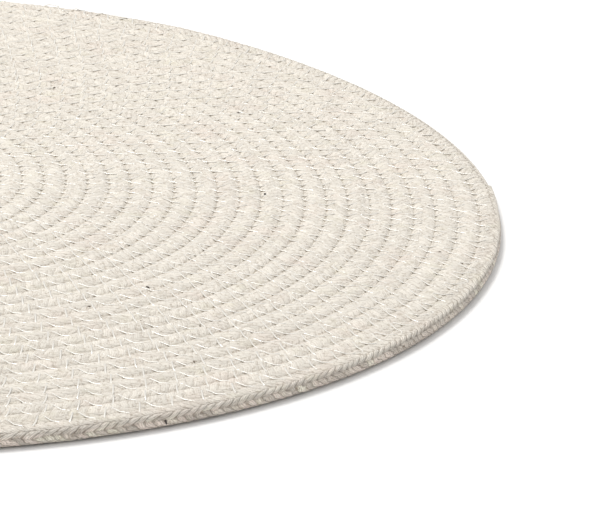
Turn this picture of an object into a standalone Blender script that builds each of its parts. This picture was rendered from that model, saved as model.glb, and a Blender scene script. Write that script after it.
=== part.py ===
# Round placemat: a thick braided cotton cord wound into a flat coil, each turn sewn to the last.
# It lies flat on z = 0 with its bounding box centred over the origin, +Z up. Sizes are in metres.

import math

import bmesh
import bpy

# Sizes of the cord and the coil
CORD_WIDTH = 0.0060         # from one groove between two turns to the next
MAT_THICKNESS = 0.0040      # from the table to the top of the cord
GROOVE_DEPTH = 0.0012       # how far the grooves are sunk below the top
LEVEL_SHARE = 0.5           # share of a turn's width that is level on top
TURNS = 31                  # turns of cord around the hub
HUB_RADIUS = 1.17           # the coil's tight start in the middle, in cord widths

# Where the two ends of the cord lie, in degrees anticlockwise seen from above
TAIL_DIRECTION = 70.0       # direction of the outer end, counted from +X
TAIL_TAPER = 18.0           # stretch over which the outer end narrows into the rim
TAIL_WIDTH = 0.25           # width left at the very end, in cord widths
HEAD_OFFSET = 63.0          # from the tail's direction to the start of the innermost turn

# Sections through the coil, in degrees past the tail: even steps, then closer ones along the taper
SECTION_STEP = 9.0
TAPER_SECTIONS = (342.0, 347.0, 352.0, 356.5, 359.2)

# Side of the outermost turn: share of its shoulder left outside, and height as a share of the thickness
RIM_PROFILE = (
    # inset, height
    (0.28, 0.80),
    (0.00, 0.50),
    (0.28, 0.20),
    (1.00, 0.00),
)

COTTON_COLOUR = (0.847, 0.800, 0.708, 1.0)


def clear_scene():
    for item in list(bpy.data.objects):
        bpy.data.objects.remove(item, do_unlink=True)


def cotton_material():
    material = bpy.data.materials.new("cotton_cord")
    material.use_nodes = True
    shader = material.node_tree.nodes["Principled BSDF"]
    shader.inputs["Base Color"].default_value = COTTON_COLOUR
    shader.inputs["Roughness"].default_value = 0.92
    shader.inputs["Metallic"].default_value = 0.0
    return material


def section_angles():
    even = [step * SECTION_STEP for step in range(int(TAPER_SECTIONS[0] / SECTION_STEP))]
    return even + list(TAPER_SECTIONS)


def tail_share(angle):
    # Width of the last turn: full, then narrowing along the taper
    start = 360.0 - TAIL_TAPER
    if angle <= start:
        return 1.0
    return 1.0 - (1.0 - TAIL_WIDTH) * (angle - start) / TAIL_TAPER


def turn_edges(angle):
    # Inner and outer radius of each turn that this section cuts, from the hub outwards
    spiral = angle / 360.0
    first = 0 if angle >= HEAD_OFFSET else 1
    edges = []
    for turn in range(first, TURNS):
        inner = HUB_RADIUS - 1.0 + turn + spiral
        width = 1.0
        if turn == 0:
            inner = HUB_RADIUS
            width = spiral
        if turn == TURNS - 1:
            width = tail_share(angle)
        edges.append((inner * CORD_WIDTH, (inner + width) * CORD_WIDTH))
    return edges


def section_profile(angle):
    # Radius and height of the section's points: hub shoulder, each turn's groove and two shoulders, rim
    edges = turn_edges(angle)
    shoulder = CORD_WIDTH * (1.0 - LEVEL_SHARE) / 2.0
    points = [(edges[0][0] - shoulder, MAT_THICKNESS)]
    for inner, outer in edges:
        slope = (outer - inner) * (1.0 - LEVEL_SHARE) / 2.0
        points.append((inner, MAT_THICKNESS - GROOVE_DEPTH))
        points.append((inner + slope, MAT_THICKNESS))
        points.append((outer - slope, MAT_THICKNESS))
    inner, outer = edges[-1]
    slope = (outer - inner) * (1.0 - LEVEL_SHARE) / 2.0
    for inset, height in RIM_PROFILE:
        points.append((outer - slope * inset, MAT_THICKNESS * height))
    return points


def skin_strip(mesh, left, right, matching):
    # Join two neighbouring sections. The first points match one to one, and so do the last. Where one
    # section has a turn more, that turn's points run together on the other section.
    for index in range(matching - 1):
        mesh.faces.new((left[index], left[index + 1], right[index + 1], right[index]))
    rest = min(len(left), len(right)) - matching
    left_rest = left[len(left) - rest:]
    right_rest = right[len(right) - rest:]
    for index in range(rest - 1):
        mesh.faces.new((left_rest[index], left_rest[index + 1], right_rest[index + 1], right_rest[index]))
    left_step = left[matching - 1:len(left) - rest + 1]
    right_step = right[matching - 1:len(right) - rest + 1]
    if len(left_step) == len(right_step):
        mesh.faces.new((left_step[0], left_step[1], right_step[1], right_step[0]))
    elif len(left_step) > len(right_step):
        for near, far in zip(left_step, left_step[1:]):
            mesh.faces.new((near, far, right_step[1]))
        mesh.faces.new((left_step[0], right_step[1], right_step[0]))
    else:
        for near, far in zip(right_step, right_step[1:]):
            mesh.faces.new((near, left_step[1], far))
        mesh.faces.new((left_step[0], left_step[1], right_step[0]))


def coil_mesh():
    mesh = bmesh.new()
    sections = []
    for angle in section_angles():
        direction = math.radians(TAIL_DIRECTION + angle)
        along_x, along_y = math.cos(direction), math.sin(direction)
        sections.append([
            mesh.verts.new((radius * along_x, radius * along_y, height))
            for radius, height in section_profile(angle)
        ])
    top_centre = mesh.verts.new((0.0, 0.0, MAT_THICKNESS))
    base_centre = mesh.verts.new((0.0, 0.0, 0.0))
    rim_points = len(RIM_PROFILE)
    for index, left in enumerate(sections):
        right = sections[(index + 1) % len(sections)]
        if len(right) > len(left):
            matching = 1                             # the innermost turn starts beside the hub
        else:
            matching = len(right) - rim_points       # all but the rim; the tail ends just inside it
        skin_strip(mesh, left, right, matching)
        mesh.faces.new((top_centre, left[0], right[0]))
        mesh.faces.new((base_centre, right[-1], left[-1]))
    return mesh


def centre_on_box(mesh):
    # The spiral's rim isn't quite round, so the coil's middle lies a little off the box's
    across = [vert.co.x for vert in mesh.verts]
    along = [vert.co.y for vert in mesh.verts]
    shift = (-(min(across) + max(across)) / 2.0, -(min(along) + max(along)) / 2.0, 0.0)
    bmesh.ops.translate(mesh, vec=shift, verts=list(mesh.verts))


def build_mat():
    mesh = coil_mesh()
    centre_on_box(mesh)
    data = bpy.data.meshes.new("coiled_cord_mat")
    mesh.to_mesh(data)
    mesh.free()
    data.materials.append(cotton_material())
    data.shade_smooth()
    data.set_sharp_from_angle(angle=math.radians(50.0))
    mat = bpy.data.objects.new("coiled_cord_mat", data)
    placemat = bpy.data.collections.new("round_cord_placemat")
    bpy.context.scene.collection.children.link(placemat)
    placemat.objects.link(mat)


clear_scene()
build_mat()
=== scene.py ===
import math
import random

import bpy
from mathutils import Matrix, Vector


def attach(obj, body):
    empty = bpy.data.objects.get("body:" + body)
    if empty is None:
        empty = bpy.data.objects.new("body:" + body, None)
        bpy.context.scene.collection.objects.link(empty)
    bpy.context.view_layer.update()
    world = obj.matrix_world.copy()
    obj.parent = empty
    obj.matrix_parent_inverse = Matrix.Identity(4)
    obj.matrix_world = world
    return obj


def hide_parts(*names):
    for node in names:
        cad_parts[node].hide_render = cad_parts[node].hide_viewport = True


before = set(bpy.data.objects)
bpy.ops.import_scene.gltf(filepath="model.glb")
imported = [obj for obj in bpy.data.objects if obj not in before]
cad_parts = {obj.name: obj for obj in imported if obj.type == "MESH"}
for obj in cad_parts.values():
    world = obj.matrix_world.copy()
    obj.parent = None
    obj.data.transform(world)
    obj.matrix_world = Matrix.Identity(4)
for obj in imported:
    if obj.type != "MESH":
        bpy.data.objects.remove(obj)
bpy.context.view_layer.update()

mm = 0.001

# the coil as it was wound: one turn to a cord's width, and where its middle lies
coil = {
    "pitch": 6.0 * mm,            # cord width, one turn to the next
    "height": 4.0 * mm,           # cord height on the table
    "centre": (-1.5 * mm, 1.5 * mm),
    "startAngle": -171.2,         # direction of turn 0, degrees
    "lastTurn": 31.67,            # where the cord ends
    "tailTurn": 31.62,            # where it starts to narrow
    "tailWidth": 0.25,            # share of its width left at the end
    "pointHeight": 0.55,          # share of its height left in the point it starts with
    "settledTurn": 2.0,           # its grooves sway from this turn on
    # a small bulge in the rim that stops short: turns, and how far it stands out
    "lump": {"from": 31.4606, "rise": 0.0160, "to": 31.4773, "size": 0.8 * mm},
    "stitchRate": 2.0,            # stitches = rate x turns^2 + base x turns
    "stitchBase": 8.0,
    "stitchSlips": [(28.5, 0.17), (29.5, 0.18), (30.5, -0.60)],     # at this turn, by this many stitches
    "slipRate": 5.0,              # a slip comes in over a fifth of a turn
}


def show(*words):
    print("placemat:", *words)


def addObject(name, data):
    thing = bpy.data.objects.new(name, data)
    bpy.context.scene.collection.objects.link(thing)
    return thing


def addPiece(name, mesh):
    # pieces are made round the coil's middle, then moved to where it lies
    mesh.transform(Matrix.Translation((*coil["centre"], 0.0)))
    return addObject(name, mesh)


# node helpers
def feed(tree, socket, value):
    if isinstance(value, bpy.types.NodeSocket):
        tree.links.new(value, socket)
    else:
        socket.default_value = value


def calc(tree, operation, *values, clamp=False):
    node = tree.nodes.new("ShaderNodeMath")
    node.operation = operation
    node.use_clamp = clamp
    for socket, value in zip(node.inputs, values):
        feed(tree, socket, value)
    return node.outputs[0]


def add(tree, a, b):
    return calc(tree, "ADD", a, b)


def sub(tree, a, b):
    return calc(tree, "SUBTRACT", a, b)


def mul(tree, a, b):
    return calc(tree, "MULTIPLY", a, b)


def mulAdd(tree, a, b, c, clamp=False):
    return calc(tree, "MULTIPLY_ADD", a, b, c, clamp=clamp)


def power(tree, a, b):
    return calc(tree, "POWER", a, b)


def vector(tree, x, y, z):
    node = tree.nodes.new("ShaderNodeCombineXYZ")
    for socket, value in zip(node.inputs, (x, y, z)):
        feed(tree, socket, value)
    return node.outputs[0]


def parts(tree, value):
    node = tree.nodes.new("ShaderNodeSeparateXYZ")
    tree.links.new(value, node.inputs[0])
    return node.outputs


def noise(tree, place, scale, detail=2.0, roughness=0.5):
    node = tree.nodes.new("ShaderNodeTexNoise")
    feed(tree, node.inputs["Vector"], place)
    node.inputs["Scale"].default_value = scale
    node.inputs["Detail"].default_value = detail
    node.inputs["Roughness"].default_value = roughness
    return node.outputs[0]


def ramp(tree, value, low, high):
    node = tree.nodes.new("ShaderNodeMapRange")
    feed(tree, node.inputs["Value"], value)
    node.inputs["From Min"].default_value = low
    node.inputs["From Max"].default_value = high
    return node.outputs[0]


def mixColour(tree, factor, first, second):
    node = tree.nodes.new("ShaderNodeMix")
    node.data_type = "RGBA"
    feed(tree, node.inputs[0], factor)
    feed(tree, node.inputs[6], first)       # 6 and 7 are the two colours
    feed(tree, node.inputs[7], second)
    return node.outputs[2]


def objectPlace(tree):
    return tree.nodes.new("ShaderNodeTexCoord").outputs["Object"]


def attribute(tree, name):
    node = tree.nodes.new("ShaderNodeAttribute")
    node.attribute_name = name
    return node.outputs["Fac"]


def addBump(tree, shader, height, strength, distance):
    node = tree.nodes.new("ShaderNodeBump")
    node.inputs["Strength"].default_value = strength
    node.inputs["Distance"].default_value = distance
    tree.links.new(height, node.inputs["Height"])
    tree.links.new(node.outputs[0], shader.inputs["Normal"])


def newPaint(name, values):
    # a material with these values on its shader; returns it with its tree and shader
    paint = bpy.data.materials.new(name)
    paint.use_nodes = True
    shader = paint.node_tree.nodes["Principled BSDF"]
    for label, value in values.items():
        shader.inputs[label].default_value = value
    return paint, paint.node_tree, shader


def newTree(name, inputs):
    # a modifier tree with a geometry output and named inputs; returns the tree and its inputs by name
    tree = bpy.data.node_groups.new(name, "GeometryNodeTree")
    tree.interface.new_socket("Geometry", in_out="INPUT", socket_type="NodeSocketGeometry")
    tree.interface.new_socket("Geometry", in_out="OUTPUT", socket_type="NodeSocketGeometry")
    for label, kind in inputs:
        tree.interface.new_socket(label, in_out="INPUT", socket_type=kind)
    entry = tree.nodes.new("NodeGroupInput")
    return tree, {socket.name: socket for socket in entry.outputs if socket.name}


def endTree(tree, geometry, material):
    realize = tree.nodes.new("GeometryNodeRealizeInstances")
    paint = tree.nodes.new("GeometryNodeSetMaterial")
    leave = tree.nodes.new("NodeGroupOutput")
    tree.links.new(geometry, realize.inputs[0])
    tree.links.new(realize.outputs[0], paint.inputs["Geometry"])
    tree.links.new(material, paint.inputs["Material"])
    tree.links.new(paint.outputs[0], leave.inputs[0])


def makePiece(name, tree, values):
    # runs a tree on an empty mesh and keeps the result as a plain mesh
    maker = addObject(name + "_maker", bpy.data.meshes.new(name + "_maker"))
    modifier = maker.modifiers.new("build", "NODES")
    modifier.node_group = tree
    for item in tree.interface.items_tree:
        if item.item_type == "SOCKET" and item.in_out == "INPUT" and item.name in values:
            modifier[item.identifier] = values[item.name]
    depsgraph = bpy.context.evaluated_depsgraph_get()
    mesh = bpy.data.meshes.new_from_object(maker.evaluated_get(depsgraph), depsgraph=depsgraph)
    maker.modifiers.remove(modifier)
    bpy.data.objects.remove(maker)
    mesh.name = name
    piece = addPiece(name, mesh)
    mesh.calc_loop_triangles()
    show(name, len(mesh.loop_triangles), "triangles")
    return piece


# camera, light, floor
view = {
    "place": (-0.0015, -0.90753, 0.30977),
    "turn": 8.689,                # look direction from +Y towards +X, degrees
    "down": 19.601,
    "roll": 4.302,
    "lens": 208.01,
    "sensor": 36.0,
    "nearest": 0.01,
}


def makeCamera():
    turn, down, roll = (math.radians(view[k]) for k in ("turn", "down", "roll"))
    ahead = Vector((math.sin(turn) * math.cos(down), math.cos(turn) * math.cos(down), -math.sin(down)))
    right = Vector((math.cos(turn), -math.sin(turn), 0.0))
    up = right.cross(ahead)
    rightRolled = math.cos(roll) * right + math.sin(roll) * up
    upRolled = -math.sin(roll) * right + math.cos(roll) * up
    data = bpy.data.cameras.new("camera")
    data.lens = view["lens"]
    data.sensor_width = view["sensor"]
    data.sensor_fit = "HORIZONTAL"
    data.clip_start = view["nearest"]
    camera = addObject("camera", data)
    camera.matrix_world = Matrix((
        (rightRolled.x, upRolled.x, -ahead.x, view["place"][0]),
        (rightRolled.y, upRolled.y, -ahead.y, view["place"][1]),
        (rightRolled.z, upRolled.z, -ahead.z, view["place"][2]),
        (0.0, 0.0, 0.0, 1.0)))
    bpy.context.scene.camera = camera


studio = {
    "sky": 0.635,
    # name, place, width, power: a soft key high behind the mat on the left, and a wide light beyond it
    "lamps": [("keyLight", (-0.34, 0.40, 1.36), 0.50, 11.5),
              ("overheadLight", (-0.2, 0.62, 1.55), 2.4, 7.9)],
    "lampAim": (0.1, -0.05, 0.0),
    "lampColour": (1.0, 0.99, 0.97),
    "floorReach": 4.0,
    "floorDrop": 0.05 * mm,       # keeps the floor clear of the mat's underside
    "floor": {"Base Color": (0.93, 0.93, 0.93, 1.0), "Roughness": 0.9, "Specular IOR Level": 0.1},
}


def makeStudio():
    scene = bpy.context.scene
    scene.view_settings.view_transform = "Standard"
    world = bpy.data.worlds.new("studioSky")
    world.use_nodes = True
    sky = world.node_tree.nodes["Background"]
    sky.inputs["Color"].default_value = (1.0, 1.0, 1.0, 1.0)
    sky.inputs["Strength"].default_value = studio["sky"]
    scene.world = world

    for name, place, width, watts in studio["lamps"]:
        data = bpy.data.lights.new(name, "AREA")
        data.shape = "DISK"
        data.size = width
        data.energy = watts
        data.color = studio["lampColour"]
        lamp = addObject(name, data)
        lamp.location = place
        aim = Vector(studio["lampAim"]) - lamp.location
        lamp.rotation_euler = aim.to_track_quat("-Z", "Y").to_euler()

    mesh = bpy.data.meshes.new("tableTop")
    reach = studio["floorReach"]
    mesh.from_pydata([(-reach, -reach, 0), (reach, -reach, 0), (reach, reach, 0), (-reach, reach, 0)],
                     [], [(0, 1, 2, 3)])
    floor = addObject("tableTop", mesh)
    floor.location.z = -studio["floorDrop"]
    mesh.materials.append(newPaint("whiteTable", studio["floor"])[0])


makeCamera()
makeStudio()
show("camera and studio ready")

# the braided cord
braid = {
    "rows": 6.0,                  # rows of strands round the cord
    "strandLength": 2.6 * mm,     # one strand to the next along the cord
    "lean": (1.1, 1.55),          # strands a row leans by, one way and the other
    "crown": 0.6,                 # less makes a strand's crown broader
    "dive": (0.62, 3.0),          # how far a strand's ends go under, and how suddenly
    "turned": 0.42,               # the point of the herringbone is this far above half height, in rows
    "twist": (0.7, 7.3),          # the braid turns to and fro: how far, in rows, and how often
    "rimTwist": (0.20, 22.4, 1.76),     # the same in the last turn, and where it begins
    "rimTurned": -0.18,           # how much higher the herringbone is there, in rows
    "rimTwistLength": 1.05,       # turns before the end where this takes over
    "relief": 0.26 * mm,
    "rimRelief": 0.46 * mm,
    "roundness": 2.4,             # 2 is an ellipse, more is boxier
    "rimRoundness": 3.1,          # on the outside of the last turn
    "crowding": 0.42,             # the mesh is finer on top of the cord than under it
    "squeeze": 1.22,              # neighbouring turns press together
    "pressedEdge": 5.0,           # more keeps the strands' relief closer to a groove
    "pinchSide": 0.05 * mm,       # how far a groove sways between stitches
    "pinchDown": 0.02 * mm,       # how far a stitch pulls its groove's edges down
    "swayFrom": 0.335,            # share of a stitch where the sway is at its widest
    "legs": (0.27, 0.835),        # shares of a stitch where its two legs cross the groove
    "legWidth": 4.0,              # more makes a narrower dent under a leg
    "legReach": 1.5,              # more keeps it closer to the groove
    "yarns": 3.5,                 # yarns in a strand
    # the braid wanders: noise scale, how far
    "wanderAlong": (160.0, 1.1),
    "wanderAcross": (230.0, 0.5),
    "rimTop": (3.6 * mm, 1.2 * mm),     # the rim's side is painted browner below this height, and fades over this: a painted warm shade, lightened as painted light for the little light the side gets
    "rimEdge": (1.1, 0.3),        # its painted shade in the gaps comes in outwards at this rate, from this much
    "sameSpot": 0.004 * mm,       # corners closer than this become one
}


def braidCells(tree, run, column):
    # run counts strands along the cord, column counts rows round it
    row = calc(tree, "FLOOR", column)
    across = calc(tree, "FRACT", column)
    odd = calc(tree, "FLOORED_MODULO", row, 2.0)
    one, other = braid["lean"]
    slant = mul(tree, mulAdd(tree, odd, -(one + other), one), sub(tree, across, 0.5))
    cell = add(tree, sub(tree, run, slant), mul(tree, odd, 0.5 + 0.5 * (other - one)))
    return cell, row, across


def strandHeight(tree, cell, across):
    # 1 along the crown of a strand, 0 in the gaps between strands
    strand = calc(tree, "FRACT", cell)
    fromCrown = calc(tree, "ABSOLUTE", mulAdd(tree, strand, 2.0, -1.0))
    crown = mulAdd(tree, mul(tree, fromCrown, fromCrown), -1.0, 1.0, clamp=True)
    fromMiddle = calc(tree, "ABSOLUTE", mulAdd(tree, across, 2.0, -1.0))
    far, sudden = braid["dive"]
    dive = mulAdd(tree, power(tree, fromMiddle, sudden), -far, 1.0)
    return mul(tree, power(tree, crown, braid["crown"]), dive)


def stitchSlip(tree, turns):
    # the last three rows of sewing each start a little early or late
    rate, total = coil["slipRate"], 0.0
    for turn, slip in coil["stitchSlips"]:
        begun = mulAdd(tree, turns, rate, 0.5 - rate * turn, clamp=True)
        total = mulAdd(tree, begun, slip, total)
    return total


def stitchCount(tree, turns):
    count = mul(tree, turns, mulAdd(tree, turns, coil["stitchRate"], coil["stitchBase"]))
    return add(tree, count, stitchSlip(tree, turns))


def makeCordTree():
    tree, given = newTree("braidedCoil", [
        ("Start Turn", "NodeSocketFloat"), ("End Turn", "NodeSocketFloat"),
        ("Sections", "NodeSocketInt"), ("Sides", "NodeSocketInt"),
        ("Cord Width", "NodeSocketFloat"), ("Cord Height", "NodeSocketFloat"),
        ("Strand Length", "NodeSocketFloat"), ("Relief", "NodeSocketFloat"),
        ("Lump", "NodeSocketFloat"), ("Cotton", "NodeSocketMaterial")])
    pitch, height = given["Cord Width"], given["Cord Height"]
    grid = tree.nodes.new("GeometryNodeMeshGrid")
    points = add(tree, given["Sides"], 1.0)
    tree.links.new(given["Sections"], grid.inputs["Vertices X"])
    tree.links.new(points, grid.inputs["Vertices Y"])

    # section and side number of each point; the first and last sections close the ends
    index = tree.nodes.new("GeometryNodeInputIndex").outputs[0]
    section = calc(tree, "FLOOR", calc(tree, "DIVIDE", add(tree, index, 0.5), points))
    sideNumber = sub(tree, index, mul(tree, section, points))
    last = sub(tree, given["Sections"], 1.0)
    share = calc(tree, "DIVIDE", sub(tree, section, 1.0), sub(tree, last, 2.0), clamp=True)
    inside = mul(tree, calc(tree, "GREATER_THAN", section, 0.5),
                 calc(tree, "LESS_THAN", section, sub(tree, last, 0.5)))

    # equal steps along the cord: its length grows with the square of the turns
    reach = add(tree, given["Start Turn"], 0.5)
    reachEnd = add(tree, given["End Turn"], 0.5)
    squared = mulAdd(tree, share, sub(tree, mul(tree, reachEnd, reachEnd), mul(tree, reach, reach)),
                     mul(tree, reach, reach))
    turns = sub(tree, calc(tree, "SQRT", squared), 0.5)
    run = calc(tree, "DIVIDE", mul(tree, mul(tree, squared, math.pi), pitch), given["Strand Length"])

    # width of the cord here: it starts in a point and narrows at its tail
    tailShare = calc(tree, "DIVIDE", sub(tree, turns, coil["tailTurn"]),
                     coil["lastTurn"] - coil["tailTurn"], clamp=True)
    tail = mulAdd(tree, tailShare, coil["tailWidth"] - 1.0, 1.0)
    width = calc(tree, "MINIMUM", add(tree, turns, 0.5), tail)
    width = calc(tree, "MINIMUM", width, 1.0)
    tall = mulAdd(tree, calc(tree, "SQRT", calc(tree, "MAXIMUM", width, 0.0)),
                  1.0 - coil["pointHeight"], coil["pointHeight"])

    # angle round the cord from its underside, closer together on top
    turned = calc(tree, "DIVIDE", sideNumber, given["Sides"])
    turned = mulAdd(tree, calc(tree, "SINE", mul(tree, turned, 2.0 * math.pi)),
                    braid["crowding"] / (2.0 * math.pi), turned)
    angle = mulAdd(tree, turned, 2.0 * math.pi, -0.5 * math.pi)
    cosine, sine = calc(tree, "COSINE", angle), calc(tree, "SINE", angle)

    # rows of the braid are counted so that two of them meet near half height on the outer side
    insideRim = calc(tree, "LESS_THAN", turns, coil["lastTurn"] - braid["rimTwistLength"])
    far, often = braid["twist"]
    twist = mul(tree, calc(tree, "SINE", mul(tree, turns, often)), mul(tree, insideRim, far))
    far, often, begin = braid["rimTwist"]
    rimTwist = mulAdd(tree, calc(tree, "SINE", mulAdd(tree, turns, often, begin)), far, braid["rimTurned"])
    twist = add(tree, twist, mul(tree, rimTwist, sub(tree, 1.0, insideRim)))
    column = mulAdd(tree, turned, braid["rows"], sub(tree, braid["rows"] * 0.75 - braid["turned"], twist))

    # every turn but the last has another one outside it
    hasNext = calc(tree, "LESS_THAN", turns, coil["lastTurn"] - 1.0)
    lastTurn = sub(tree, 1.0, hasNext)
    onOutside = mul(tree, calc(tree, "GREATER_THAN", cosine, 0.0), lastTurn)
    exponent = mulAdd(tree, onOutside, 2.0 / braid["rimRoundness"] - 2.0 / braid["roundness"],
                      2.0 / braid["roundness"])

    def rounded(value):
        return mul(tree, calc(tree, "SIGN", value),
                   power(tree, calc(tree, "ABSOLUTE", value), exponent))

    profileX, profileZ = rounded(cosine), rounded(sine)

    # the groove on each side sways between the stitches that cross it
    def sway(halfTurn):
        count = stitchCount(tree, add(tree, turns, halfTurn))
        return count, calc(tree, "COSINE", mul(tree, sub(tree, count, braid["swayFrom"]), 2.0 * math.pi))

    outerCount, outerSway = sway(0.5)
    innerCount, innerSway = sway(-0.5)
    outward = calc(tree, "MAXIMUM", profileX, 0.0)
    inward = calc(tree, "MAXIMUM", mul(tree, profileX, -1.0), 0.0)
    swayOut = mul(tree, mul(tree, outward, outward), mul(tree, outerSway, hasNext))
    swayIn = mul(tree, mul(tree, inward, inward), innerSway)
    swayBoth = mul(tree, add(tree, swayOut, swayIn), braid["pinchSide"])
    swayBoth = mul(tree, swayBoth, calc(tree, "GREATER_THAN", turns, coil["settledTurn"]))

    lump = coil["lump"]
    lumpShare = calc(tree, "DIVIDE", sub(tree, turns, lump["from"]), lump["rise"], clamp=True)
    bulge = mul(tree, mul(tree, lumpShare, calc(tree, "LESS_THAN", turns, lump["to"])),
                mul(tree, given["Lump"], outward))

    innerEdge = mul(tree, calc(tree, "MAXIMUM", sub(tree, turns, 0.5), 0.0), pitch)
    halfWidth = mul(tree, mul(tree, width, pitch), 0.5)
    pressed = mulAdd(tree, mul(tree, outward, lastTurn), 1.0 - braid["squeeze"], braid["squeeze"])
    sideways = mul(tree, mul(tree, halfWidth, profileX), pressed)
    radius = add(tree, add(tree, innerEdge, halfWidth), mul(tree, sideways, inside))
    radius = add(tree, radius, mul(tree, add(tree, swayBoth, bulge), inside))
    direction = mulAdd(tree, turns, 2.0 * math.pi, math.radians(coil["startAngle"]))
    halfHeight = mul(tree, mul(tree, height, tall), 0.5)
    level = add(tree, halfHeight, mul(tree, mul(tree, halfHeight, profileZ), inside))
    place = vector(tree, mul(tree, radius, calc(tree, "COSINE", direction)),
                   mul(tree, radius, calc(tree, "SINE", direction)), level)

    setBase = tree.nodes.new("GeometryNodeSetPosition")
    tree.links.new(grid.outputs["Mesh"], setBase.inputs["Geometry"])
    tree.links.new(place, setBase.inputs["Position"])

    # the braid wanders a little, so no two strands are quite alike
    where = tree.nodes.new("GeometryNodeInputPosition").outputs[0]

    def wander(setting, value):
        scale, reach = braid[setting]
        return mulAdd(tree, sub(tree, noise(tree, where, scale, 1.0), 0.5), reach, value)

    runHere, columnHere = wander("wanderAlong", run), wander("wanderAcross", column)

    def readBack(name, kind="FLOAT"):
        node = tree.nodes.new("GeometryNodeInputNamedAttribute")
        node.data_type = kind
        node.inputs["Name"].default_value = name
        return node.outputs[0]

    def store(geometry, name, kind, domain, value):
        node = tree.nodes.new("GeometryNodeStoreNamedAttribute")
        node.data_type = kind
        node.domain = domain
        node.inputs["Name"].default_value = name
        tree.links.new(geometry, node.inputs["Geometry"])
        feed(tree, node.inputs["Value"], value)
        return node.outputs[0]

    geometry = store(setBase.outputs[0], "braidPlace", "FLOAT_VECTOR", "POINT",
                     vector(tree, runHere, columnHere, 0.0))
    geometry = store(geometry, "braidMap", "FLOAT2", "CORNER", readBack("braidPlace", "FLOAT_VECTOR"))

    # the strands' relief, with none where turns touch
    cell, _, across = braidCells(tree, runHere, columnHere)
    drop = sub(tree, 1.0, strandHeight(tree, cell, across))
    free = sub(tree, 1.0, mul(tree, hasNext, power(tree, outward, braid["pressedEdge"])))
    free = sub(tree, free, power(tree, inward, braid["pressedEdge"]))
    drop = mul(tree, drop, free)

    # the two legs of each stitch pull the edges of their groove down
    def pull(count, edge):
        dents = []
        for leg in braid["legs"]:
            wave = calc(tree, "COSINE", mul(tree, sub(tree, count, leg), math.pi))
            dents.append(power(tree, mul(tree, wave, wave), braid["legWidth"]))
        return mul(tree, add(tree, *dents), power(tree, edge, braid["legReach"]))

    pulled = add(tree, mul(tree, pull(outerCount, outward), hasNext), pull(innerCount, inward))
    topSide = calc(tree, "GREATER_THAN", profileZ, 0.0)
    depth = add(tree, mul(tree, drop, given["Relief"]),
                mul(tree, mul(tree, pulled, topSide), braid["pinchDown"]))
    geometry = store(geometry, "sink", "FLOAT", "POINT", mul(tree, depth, inside))
    geometry = store(geometry, "capEnd", "FLOAT", "POINT", sub(tree, 1.0, inside))

    # for the painted shade and light on the rim: how far a point is on the outer side of the rim, and how
    # near to its outer edge
    top, fade = braid["rimTop"]
    rimSide = mul(tree, mul(tree, lastTurn, power(tree, outward, 2.0)),
                  calc(tree, "DIVIDE", sub(tree, top, level), fade, clamp=True))
    rimEdge = mul(tree, lastTurn, mulAdd(tree, outward, *braid["rimEdge"], clamp=True))
    geometry = store(geometry, "rimSide", "FLOAT", "POINT", mul(tree, rimSide, inside))
    geometry = store(geometry, "rimEdge", "FLOAT", "POINT", mul(tree, rimEdge, inside))

    merge = tree.nodes.new("GeometryNodeMergeByDistance")
    merge.inputs["Distance"].default_value = braid["sameSpot"]
    tree.links.new(geometry, merge.inputs["Geometry"])

    normal = tree.nodes.new("GeometryNodeInputNormal").outputs[0]
    scaled = tree.nodes.new("ShaderNodeVectorMath")
    scaled.operation = "SCALE"
    tree.links.new(normal, scaled.inputs[0])
    tree.links.new(mul(tree, readBack("sink"), -1.0), scaled.inputs["Scale"])
    sinkIn = tree.nodes.new("GeometryNodeSetPosition")
    tree.links.new(merge.outputs[0], sinkIn.inputs["Geometry"])
    tree.links.new(scaled.outputs[0], sinkIn.inputs["Offset"])

    # smooth all over, apart from the closed ends
    smooth = tree.nodes.new("GeometryNodeSetShadeSmooth")
    tree.links.new(sinkIn.outputs[0], smooth.inputs["Geometry"])
    tree.links.new(calc(tree, "LESS_THAN", readBack("capEnd"), 0.01), smooth.inputs["Shade Smooth"])
    geometry = smooth.outputs[0]
    for name in ("braidPlace", "sink", "capEnd"):
        forget = tree.nodes.new("GeometryNodeRemoveAttribute")
        forget.inputs["Name"].default_value = name
        tree.links.new(geometry, forget.inputs["Geometry"])
        geometry = forget.outputs[0]
    endTree(tree, geometry, given["Cotton"])
    return tree


cordColours = {
    "top": (0.812, 0.766, 0.69, 1.0),
    # painted shade for the gaps between strands and between yarns, and for pits
    "gapShade": (0.42, 0.34, 0.255, 1.0),
    "pink": (0.77, 0.675, 0.60, 1.0),
    "straw": (0.755, 0.72, 0.585, 1.0),
    # the rim's side: a painted warm shade, lightened as painted light for the little light the side gets,
    # with pink and green strands among it
    "rimShadeTan": (0.90, 0.80, 0.70, 1.0),
    "rimPink": (0.90, 0.775, 0.69, 1.0),
    "rimGreen": (0.85, 0.81, 0.67, 1.0),
    # painted shade for the gaps between the rim's strands, darkest at its outer edge
    "rimGapShade": (0.15, 0.11, 0.08, 1.0),
}

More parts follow.
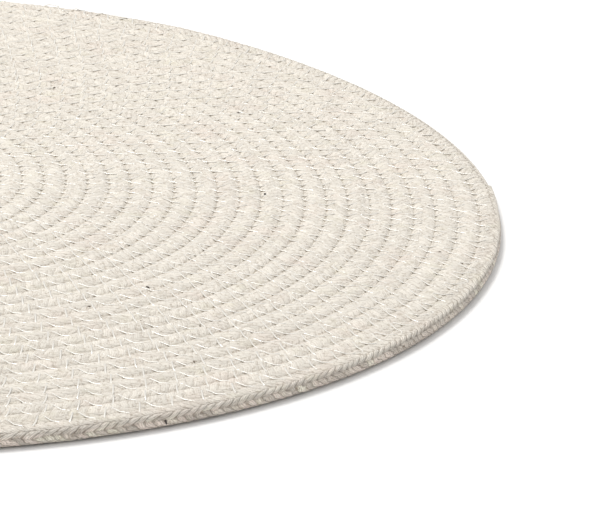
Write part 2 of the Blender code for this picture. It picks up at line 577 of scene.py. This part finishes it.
# the cotton's surface; a noise is its scale, detail and roughness, a range is where it starts and is full
cotton = {
    "shader": {"Roughness": 0.88, "Specular IOR Level": 0.2, "Sheen Weight": 0.12, "Sheen Roughness": 0.6},
    "strayNoise": (420.0, 2.0, 0.6),
    "stray": (0.7, 0.35),         # how far strands stray along the cord, and the share of it across
    "fibreFineness": (9.0, 2.2),  # fibres are finer across a strand than along it
    "fibreNoise": (1.0, 4.0, 0.65),
    "fibreRange": (0.25, 0.6),
    "rimNoise": (0.7, 3.0, 0.6),
    "fuzzNoise": (2600.0, 3.0, 0.6),
    "crumbNoise": (950.0, 2.0, 0.6),
    "pitNoise": (1150.0, 2.0, 0.65),
    "pitRange": (0.54, 0.68),
    # relief of each; in pairs, the second is added at the edge of the rim
    "strandRelief": 0.95,
    "yarnRelief": (0.22, 0.26),
    "crumbRelief": 0.52,
    "pitRelief": -0.50,
    "fibreRelief": 0.70,
    "fuzzRelief": 0.40,
    "bump": (0.75, 0.28 * mm),
    # tints: noise, range, strength
    "tints": [("pink", (75.0, 3.0, 0.6), (0.52, 0.72), 0.55),
              ("straw", (140.0, 2.0, 0.6), (0.55, 0.75), 0.45)],
    "rimTints": [("rimPink", (0.55, 0.62)), ("rimGreen", (0.86, 0.90))],    # which strands of the rim
    # how much of the rim's side takes the painted warm shade and light
    "rimStrength": 0.9,
    "gapShadeHeight": (0.42, 0.20),    # painted shade darkens strands below this height
    "gapShadeSoftness": 0.45,
    "gapShadeStrength": (0.68, 0.20),
    # how far the gaps' painted shade turns to the rim's darker painted shade at its edge
    "rimGapShadeStrength": 0.9,
    # painted shade between yarns and in pits
    "shadeBetweenYarns": (0.30, 0.34),
    "pitShadeStrength": 0.52,
    "strandTone": (0.12, 0.27),   # how much strands differ, and how much more on the rim
    "fibreTone": (0.34, 0.83),
}


def makeCottonMaterial():
    paint, tree, shader = newPaint("naturalCottonBraid", cotton["shader"])
    mapNode = tree.nodes.new("ShaderNodeUVMap")
    mapNode.uv_map = "braidMap"
    alongCord, roundCord, _ = parts(tree, mapNode.outputs[0])
    where = objectPlace(tree)
    far, acrossShare = cotton["stray"]
    stray = mulAdd(tree, noise(tree, where, *cotton["strayNoise"]), far, -0.5 * far)
    run, column = add(tree, alongCord, stray), mulAdd(tree, stray, acrossShare, roundCord)
    cell, row, across = braidCells(tree, run, column)
    height = strandHeight(tree, cell, across)
    strand = calc(tree, "FRACT", cell)
    onRim, onEdge = attribute(tree, "rimSide"), attribute(tree, "rimEdge")

    def withEdge(setting):
        plain, more = cotton[setting]
        return mulAdd(tree, onEdge, more, plain)

    # yarns lie side by side in each strand, with loose fibre over them
    yarn = calc(tree, "ABSOLUTE", calc(tree, "SINE", mul(tree, strand, math.pi * braid["yarns"])))
    fine, coarse = cotton["fibreFineness"]
    fibrePlace = vector(tree, mul(tree, cell, fine), mul(tree, column, coarse), row)
    fibre = noise(tree, fibrePlace, *cotton["fibreNoise"])
    fuzz = noise(tree, where, *cotton["fuzzNoise"])
    crumb = noise(tree, where, *cotton["crumbNoise"])
    pit = ramp(tree, noise(tree, where, *cotton["pitNoise"]), *cotton["pitRange"])
    relief = mulAdd(tree, height, cotton["strandRelief"], mul(tree, yarn, withEdge("yarnRelief")))
    for layer, setting in ((crumb, "crumbRelief"), (pit, "pitRelief"), (fibre, "fibreRelief"),
                           (fuzz, "fuzzRelief")):
        relief = mulAdd(tree, layer, cotton[setting], relief)
    addBump(tree, shader, relief, *cotton["bump"])

    # faint tints in patches, and a tone of its own for each strand of the rim, over a painted warm shade on
    # the rim's side that is lightened as painted light for the little light it gets
    colour = cordColours["top"]
    for tint, patch, patchRange, strength in cotton["tints"]:
        share = ramp(tree, noise(tree, where, *patch), *patchRange)
        colour = mixColour(tree, mul(tree, share, strength), colour, cordColours[tint])
    strandNumber = tree.nodes.new("ShaderNodeTexWhiteNoise")
    strandNumber.noise_dimensions = "2D"
    tree.links.new(vector(tree, calc(tree, "FLOOR", cell), row, 0.0), strandNumber.inputs["Vector"])
    drawn = strandNumber.outputs["Value"]
    rimColour = cordColours["rimShadeTan"]
    for tint, strands in cotton["rimTints"]:
        rimColour = mixColour(tree, ramp(tree, drawn, *strands), rimColour, cordColours[tint])
    rimPatch = ramp(tree, noise(tree, fibrePlace, *cotton["rimNoise"]), *cotton["fibreRange"])
    rimShare = mul(tree, mul(tree, onRim, rimPatch), cotton["rimStrength"])
    colour = mixColour(tree, rimShare, colour, rimColour)

    # painted shade between yarns, in the gaps between strands and in pits, darker still at the rim's edge
    gapShadeColour = mixColour(tree, mul(tree, onEdge, cotton["rimGapShadeStrength"]), cordColours["gapShade"],
                          cordColours["rimGapShade"])
    between = power(tree, sub(tree, 1.0, yarn), 2.0)
    gapShade = calc(tree, "DIVIDE", sub(tree, withEdge("gapShadeHeight"), height), cotton["gapShadeSoftness"], clamp=True)
    gapShade = mul(tree, gapShade, ramp(tree, fibre, *cotton["fibreRange"]))
    colour = mixColour(tree, mul(tree, between, withEdge("shadeBetweenYarns")), colour, gapShadeColour)
    colour = mixColour(tree, mul(tree, gapShade, withEdge("gapShadeStrength")), colour, gapShadeColour)
    colour = mixColour(tree, mul(tree, pit, cotton["pitShadeStrength"]), colour, cordColours["gapShade"])

    plain, more = cotton["strandTone"]
    strandTone = mul(tree, sub(tree, drawn, 0.5), mulAdd(tree, onRim, more, plain))
    tone = tree.nodes.new("ShaderNodeHueSaturation")
    tree.links.new(add(tree, strandTone, mulAdd(tree, fibre, *cotton["fibreTone"])), tone.inputs["Value"])
    tree.links.new(colour, tone.inputs["Color"])
    tree.links.new(tone.outputs[0], shader.inputs["Base Color"])
    return paint


cordPieces = [
    # name, first turn, last turn, step along the cord, sides round it
    ("cord_centre", -0.5, 18.5, 1.00 * mm, 12),
    ("cord_middle", 18.5, 25.5, 1.00 * mm, 12),
    ("cord_outer", 25.5, 28.62, 0.80 * mm, 12),
    ("cord_beside_rim", 28.62, 30.62, 0.52 * mm, 16),
    ("cord_rim", 30.62, coil["lastTurn"], 0.36 * mm, 24),
]


def cordLength(start, end):
    return math.pi * coil["pitch"] * ((end + 0.5) ** 2 - (start + 0.5) ** 2)


cottonMaterial = makeCottonMaterial()
cordTree = makeCordTree()
cords = []
for name, start, end, step, sides in cordPieces:
    piece = makePiece(name, cordTree, {
        "Start Turn": start, "End Turn": end,
        "Sections": int(cordLength(start, end) / step) + 3, "Sides": sides,
        "Cord Width": coil["pitch"], "Cord Height": coil["height"],
        "Strand Length": braid["strandLength"],
        "Relief": braid["rimRelief"] if name == "cord_rim" else braid["relief"],
        "Lump": coil["lump"]["size"], "Cotton": cottonMaterial})
    cords.append(piece)

# the zigzag sewing
zigzag = {
    "threadWidth": 0.60 * mm,
    "threadSides": 4,
    "firstTurn": 0.9,
    "lastTurn": 31.16,
    "seed": 4,
    "wander": 0.28 * mm,
    "wanderAcross": 0.6,          # share of it across the groove
    "wanderShift": 0.33,          # the thread strays anew this share of a stitch early
    # place in one stitch: share of its length, distance from the groove, height
    "stitch": [(0.120, -2.65, 3.60), (0.150, -2.15, 3.89), (0.270, 0.0, 3.47), (0.390, 2.15, 3.89),
               (0.420, 2.65, 3.60), (0.655, 2.80, 3.60), (0.685, 2.35, 3.91), (0.838, 0.0, 3.54),
               (0.990, -2.35, 3.91), (1.020, -2.80, 3.60)],
    "flat": 0.45,                 # the thread is pulled flat on the cotton
    "flatLevel": 3.90 * mm,
    "underThreadWidth": 0.26 * mm,
    "underThreadSides": 3,
    "underStitch": [(0.155, -2.1, 0.6), (0.20, -1.5, 0.16), (0.36, 1.5, 0.16),
                    (0.52, 2.1, 0.6), (0.72, 1.5, 0.16), (0.95, -1.5, 0.16)],
    "underLevel": 0.16 * mm,
}


def makeZigzagTree(name, stitch):
    tree, given = newTree(name, [
        ("First Stitch", "NodeSocketInt"), ("Stitches", "NodeSocketInt"),
        ("Cord Width", "NodeSocketFloat"), ("Thread Width", "NodeSocketFloat"),
        ("Thread Sides", "NodeSocketInt"), ("Wander", "NodeSocketFloat"), ("Flat Level", "NodeSocketFloat"),
        ("Seed", "NodeSocketInt"), ("Thread", "NodeSocketMaterial")])
    each = float(len(stitch))
    line = tree.nodes.new("GeometryNodeMeshLine")
    line.mode = "OFFSET"
    tree.links.new(add(tree, mul(tree, given["Stitches"], each), 1.0), line.inputs["Count"])
    index = tree.nodes.new("GeometryNodeInputIndex").outputs[0]
    number = calc(tree, "FLOOR", calc(tree, "DIVIDE", add(tree, index, 0.5), each))
    step = sub(tree, index, mul(tree, number, each))
    pick = tree.nodes.new("GeometryNodeIndexSwitch")
    pick.data_type = "VECTOR"
    while len(pick.index_switch_items) < len(stitch):
        pick.index_switch_items.new()
    for place, item in enumerate(stitch):
        pick.inputs[1 + place].default_value = item
    tree.links.new(step, pick.inputs["Index"])
    stitchShare, fromGroove, stitchLevel = parts(tree, pick.outputs[0])

    # which turn of the groove this point is over: stitches = rate x turns^2 + base x turns
    count = add(tree, add(tree, number, stitchShare), given["First Stitch"])
    rate, base = coil["stitchRate"], coil["stitchBase"]
    root = calc(tree, "SQRT", mulAdd(tree, count, 4.0 * rate, base * base))
    turns = calc(tree, "DIVIDE", sub(tree, root, base), 2.0 * rate)

    def jitter(offset):
        # from -1 to 1, anew for each stitch
        node = tree.nodes.new("FunctionNodeRandomValue")
        node.data_type = "FLOAT"
        node.inputs[2].default_value = -1.0
        node.inputs[3].default_value = 1.0
        knot = calc(tree, "FLOOR", add(tree, count, zigzag["wanderShift"]))
        tree.links.new(knot, node.inputs["ID"])
        tree.links.new(add(tree, given["Seed"], offset), node.inputs["Seed"])
        return node.outputs[1]

    radius = mul(tree, turns, given["Cord Width"])
    sideways = mul(tree, fromGroove, mm)
    along = calc(tree, "DIVIDE", mul(tree, jitter(1.0), given["Wander"]), radius)
    perTurn = mulAdd(tree, turns, 2.0 * rate, base)
    slip = calc(tree, "DIVIDE", mul(tree, stitchSlip(tree, turns), -2.0 * math.pi), perTurn)
    along = add(tree, along, slip)
    across = mul(tree, jitter(2.0), mul(tree, given["Wander"], zigzag["wanderAcross"]))
    # the groove lies half a turn on from the middle of the cord
    direction = mulAdd(tree, turns, 2.0 * math.pi, math.radians(coil["startAngle"] + 180.0))
    direction = add(tree, direction, along)
    reach = add(tree, add(tree, radius, sideways), across)
    # heights are stretched here and pressed back when the thread is flattened
    stretched = mulAdd(tree, sub(tree, mul(tree, stitchLevel, mm), given["Flat Level"]),
                       1.0 / zigzag["flat"], given["Flat Level"])
    place = vector(tree, mul(tree, reach, calc(tree, "COSINE", direction)),
                   mul(tree, reach, calc(tree, "SINE", direction)), stretched)
    setPlace = tree.nodes.new("GeometryNodeSetPosition")
    tree.links.new(line.outputs[0], setPlace.inputs["Geometry"])
    tree.links.new(place, setPlace.inputs["Position"])
    toCurve = tree.nodes.new("GeometryNodeMeshToCurve")
    tree.links.new(setPlace.outputs[0], toCurve.inputs[0])
    ring = tree.nodes.new("GeometryNodeCurvePrimitiveCircle")
    tree.links.new(given["Thread Sides"], ring.inputs["Resolution"])
    tree.links.new(mul(tree, given["Thread Width"], 0.5), ring.inputs["Radius"])
    sweep = tree.nodes.new("GeometryNodeCurveToMesh")
    tree.links.new(toCurve.outputs[0], sweep.inputs["Curve"])
    tree.links.new(ring.outputs[0], sweep.inputs["Profile Curve"])
    sweep.inputs["Fill Caps"].default_value = True
    # pulled tight, the thread lies flat on the cotton
    swept = parts(tree, tree.nodes.new("GeometryNodeInputPosition").outputs[0])
    fromLevel = sub(tree, swept[2], given["Flat Level"])
    flatten = tree.nodes.new("GeometryNodeSetPosition")
    tree.links.new(sweep.outputs[0], flatten.inputs["Geometry"])
    tree.links.new(vector(tree, 0.0, 0.0, mul(tree, fromLevel, zigzag["flat"] - 1.0)),
                   flatten.inputs["Offset"])
    smooth = tree.nodes.new("GeometryNodeSetShadeSmooth")
    tree.links.new(flatten.outputs[0], smooth.inputs["Geometry"])
    endTree(tree, smooth.outputs[0], given["Thread"])
    return tree


# the thread's surface
thread = {
    "shader": {"Roughness": 0.28, "IOR": 2.2, "Specular IOR Level": 0.9, "Sheen Weight": 0.3,
               "Sheen Roughness": 0.4},
    "plyNoise": (3200.0, 2.0, 0.5),
    "plyRange": (0.3, 0.7),
    "bump": (0.4, 0.06 * mm),
    "darker": (0.85, 0.805, 0.72, 1.0),
    "paler": (0.93, 0.89, 0.82, 1.0),
}


def makeThreadMaterial():
    paint, tree, shader = newPaint("sewingThread", thread["shader"])
    ply = noise(tree, objectPlace(tree), *thread["plyNoise"])
    addBump(tree, shader, ply, *thread["bump"])
    colour = mixColour(tree, ramp(tree, ply, *thread["plyRange"]), thread["darker"], thread["paler"])
    tree.links.new(colour, shader.inputs["Base Color"])
    return paint


def stitchesTo(turns):
    return int(coil["stitchRate"] * turns * turns + coil["stitchBase"] * turns)


threadMaterial = makeThreadMaterial()
firstStitch, lastStitch = stitchesTo(zigzag["firstTurn"]), stitchesTo(zigzag["lastTurn"])
sewing = []
for name, shape, width, sides, level in (
        ("zigzag_top", "stitch", "threadWidth", "threadSides", "flatLevel"),
        ("zigzag_under", "underStitch", "underThreadWidth", "underThreadSides", "underLevel")):
    piece = makePiece(name, makeZigzagTree(name, zigzag[shape]), {
        "First Stitch": firstStitch, "Stitches": lastStitch - firstStitch,
        "Cord Width": coil["pitch"], "Thread Width": zigzag[width], "Thread Sides": zigzag[sides],
        "Wander": zigzag["wander"], "Flat Level": zigzag[level], "Seed": zigzag["seed"],
        "Thread": threadMaterial})
    sewing.append(piece)

# cotton seed flecks
flecks = {
    "seed": 11,
    "count": 52,
    "spread": 0.186,              # how far from the middle they are scattered
    "length": (0.25 * mm, 0.6 * mm),
    "paleness": (0.5, 1.0),
    # seen on the mat: place from the coil's middle in mm, length in mm, dark to pale
    "seen": [(126.2, -11.3, 1.4, 0.0), (87.2, -87.4, 1.3, 0.05), (73.6, 81.8, 1.3, 0.3),
             (127.0, 61.7, 1.4, 0.15), (71.3, -101.5, 0.9, 0.4), (98.0, -113.6, 0.9, 0.5),
             (94.2, -137.2, 0.9, 0.5), (167.9, -55.7, 0.9, 0.4), (86.8, -107.9, 0.7, 0.5),
             (121.8, -126.6, 0.8, 0.5), (58.7, -28.6, 0.7, 0.5), (172.5, -64.0, 0.6, 0.6)],
    "rimSeen": (-63.7, 1.7 * mm, 1.4 * mm),     # direction, height and length of the one on the rim
    "rimInset": 0.25 * mm,
    "rimLean": 0.4,
    "deep": 0.08 * mm,
    "shape": (0.5, 0.26, 0.20),                 # half its length, width and thickness
    "rings": ((-1.0, 0.05), (-0.55, 0.75), (0.2, 1.0), (0.8, 0.6), (1.0, 0.05)),
    "corners": 6,
    "shader": {"Roughness": 0.7},
    "grainNoise": (4000.0, 2.0),
    "husk": ((0.035, 0.028, 0.03, 1.0), (0.09, 0.07, 0.06, 1.0)),
    "pale": (0.46, 0.37, 0.27, 1.0),
    "paleStrength": 0.75,
}


def topHeight(x, y):
    # height of the cord's top at a place, from the turn that runs under it
    turnHere = math.hypot(x, y) / coil["pitch"]
    start = (math.degrees(math.atan2(y, x)) - coil["startAngle"]) / 360.0
    offset = (turnHere - start + 0.5) % 1.0 - 0.5
    share = abs(offset) * 2.0 / braid["squeeze"]
    return coil["height"] * 0.5 * (1.0 + (1.0 - share ** braid["roundness"]) ** (1.0 / braid["roundness"]))


def addFleck(points, faces, middle, axes, size):
    # a small husk: rings of corners along its length, closed at both ends
    first, corners, rings = len(points), flecks["corners"], flecks["rings"]
    for along, wide in rings:
        for corner in range(corners):
            swing = 2.0 * math.pi * corner / corners
            reach = (along, math.cos(swing) * wide, math.sin(swing) * wide)
            points.append(middle + sum((axis * step * part * size
                                        for axis, step, part in zip(axes, reach, flecks["shape"])), Vector()))
    for ring in range(len(rings) - 1):
        for corner in range(corners):
            a = first + ring * corners + corner
            b = first + ring * corners + (corner + 1) % corners
            faces.append((a, a + corners, b + corners, b))
    faces.append(tuple(first + corner for corner in range(corners)))
    faces.append(tuple(first + (len(rings) - 1) * corners + corner for corner in reversed(range(corners))))


def makeHuskMaterial():
    paint, tree, shader = newPaint("cottonSeedHusk", flecks["shader"])
    grain = noise(tree, objectPlace(tree), *flecks["grainNoise"])
    paleness = mul(tree, attribute(tree, "pale"), flecks["paleStrength"])
    colour = mixColour(tree, paleness, mixColour(tree, grain, *flecks["husk"]), flecks["pale"])
    tree.links.new(colour, shader.inputs["Base Color"])
    return paint


def makeFlecks():
    dice = random.Random(flecks["seed"])
    upright = Vector((0.0, 0.0, 1.0))
    spots = [(x * mm, y * mm, size * mm, pale) for x, y, size, pale in flecks["seen"]]
    while len(spots) < flecks["count"]:
        radius = flecks["spread"] * math.sqrt(dice.random())
        angle = dice.uniform(0.0, 2.0 * math.pi)
        spots.append((radius * math.cos(angle), radius * math.sin(angle),
                      dice.uniform(*flecks["length"]), dice.uniform(*flecks["paleness"])))
    points, faces, shades = [], [], []
    for x, y, size, pale in spots:
        turn = dice.uniform(0.0, math.pi)
        axes = (Vector((math.cos(turn), math.sin(turn), 0.0)), Vector((-math.sin(turn), math.cos(turn), 0.0)),
                upright)
        addFleck(points, faces, Vector((x, y, topHeight(x, y) - flecks["deep"])), axes, size)
        shades += [pale] * (len(faces) - len(shades))

    # the one on the rim's outer side, a little aslant
    degrees, level, size = flecks["rimSeen"]
    angle = math.radians(degrees)
    outward = Vector((math.cos(angle), math.sin(angle), 0.0))
    aside = Vector((-math.sin(angle), math.cos(angle), 0.0))
    turnHere = math.floor(coil["lastTurn"]) + ((degrees - coil["startAngle"]) / 360.0) % 1.0
    reach = (turnHere + 0.5) * coil["pitch"] - flecks["rimInset"]
    upward = (upright - flecks["rimLean"] * aside).normalized()
    across = (aside + flecks["rimLean"] * upright).normalized()
    addFleck(points, faces, outward * reach + Vector((0.0, 0.0, level)), (upward, across, -outward), size)
    shades += [0.0] * (len(faces) - len(shades))

    mesh = bpy.data.meshes.new("seed_flecks")
    mesh.from_pydata(points, [], faces)
    mesh.attributes.new("pale", "FLOAT", "FACE").data.foreach_set("value", shades)
    mesh.polygons.foreach_set("use_smooth", [True] * len(mesh.polygons))
    mesh.materials.append(makeHuskMaterial())
    show("seed_flecks", len(spots) + 1, "flecks")
    return addPiece("seed_flecks", mesh)


fleckPiece = makeFlecks()

# into the frame
for piece in cords:
    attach(piece, "root")
    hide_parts("coiled_cord_mat")
for piece in sewing:
    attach(piece, "root")
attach(fleckPiece, "root")

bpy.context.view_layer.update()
show("size written")
